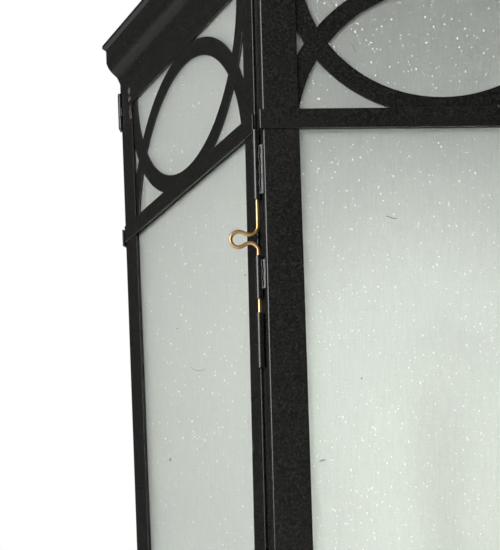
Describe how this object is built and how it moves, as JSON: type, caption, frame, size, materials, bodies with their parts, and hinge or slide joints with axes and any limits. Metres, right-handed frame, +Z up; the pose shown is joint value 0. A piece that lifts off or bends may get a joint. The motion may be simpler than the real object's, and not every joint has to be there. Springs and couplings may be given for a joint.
{
  "type": "post top lantern",
  "caption": "Hexagonal glazed post top lantern, tapering down, with a hinged side door, a sliding wire latch, interlaced arch tracery, crown moulding, hipped roof and slip-over post cup.",
  "frame": {"origin": "on the lantern's axis at the lower end of the post cup, where the bore for the post opens", "axes": "+Z up along the post and the lantern's axis; -Y is the normal of the fixed face in front; the door is the next face towards -X"},
  "size_m": [0.5096, 0.4412, 0.9142],
  "materials": {
    "black_coat": "fine textured black powder coat",
    "frosted_glass": "frosted seeded glass, faintly green at its edges",
    "brass_wire": "bare drawn wire",
    "zinc_steel": "zinc plated",
    "ivory_plastic": "ivory candle sleeve",
    "black_plastic": "moulded lampholder",
    "lamp_glass": "clear lamp glass",
    "lead_jacket": "flexible lead jacket",
    "green_steel": "green earth screw"
  },
  "bodies": {
    "lantern": {"corner_angles": "black_coat", "stiles": "black_coat", "head_rails": "black_coat", "sill_rails": "black_coat", "head_bars": "black_coat", "sill_bars": "black_coat", "band_straps": "black_coat", "tracery_plates": "black_coat", "backing_strips": "black_coat", "upper_panes": "frosted_glass", "lower_panes": "frosted_glass", "pane_retainers": "black_coat", "latch_tubes": "black_coat", "frame_knuckles": "black_coat", "hinge_pins": "black_coat", "cornice_lengths": "black_coat", "roof_panels": "black_coat", "hip_ribs": "black_coat", "vent_collar": "black_coat", "vent_cap": "black_coat", "finial": "black_coat", "eave_screws": "black_coat", "base_plate": "black_coat", "base_pan": "black_coat", "post_cup": "black_coat", "cup_screws": "black_coat", "cluster_pipe": "zinc_steel", "lock_nuts": "zinc_steel", "lock_washer": "zinc_steel", "cluster_hub": "black_coat", "cluster_arms": "black_coat", "drip_dishes": "black_coat", "candle_sleeves": "ivory_plastic", "lampholders": "black_plastic", "candle_lamps": "lamp_glass", "lamp_leads": "lead_jacket", "ground_screw": "green_steel"},
    "door": {"door_frame": "black_coat", "door_band_strap": "black_coat", "door_tracery_plate": "black_coat", "door_backing_strips": "black_coat", "door_upper_pane": "frosted_glass", "door_lower_pane": "frosted_glass", "door_retainers": "black_coat", "latch_keeper": "black_coat", "door_knuckles": "black_coat"},
    "latch_pin": {"latch_pin": "brass_wire"}
  },
  "joints": [
    {"name": "door_hinge", "type": "hinge", "parent": "lantern", "child": "door", "pos_m": [-0.22735, -0.00355, 0.48997], "axis": [0.0851, 0, -0.9964], "range_deg": [0, 115]},
    {"name": "latch_slide", "type": "slide", "parent": "lantern", "child": "latch_pin", "axis": [-0.0426, -0.0737, 0.9964], "range_m": [0, 0.016]}
  ]
}
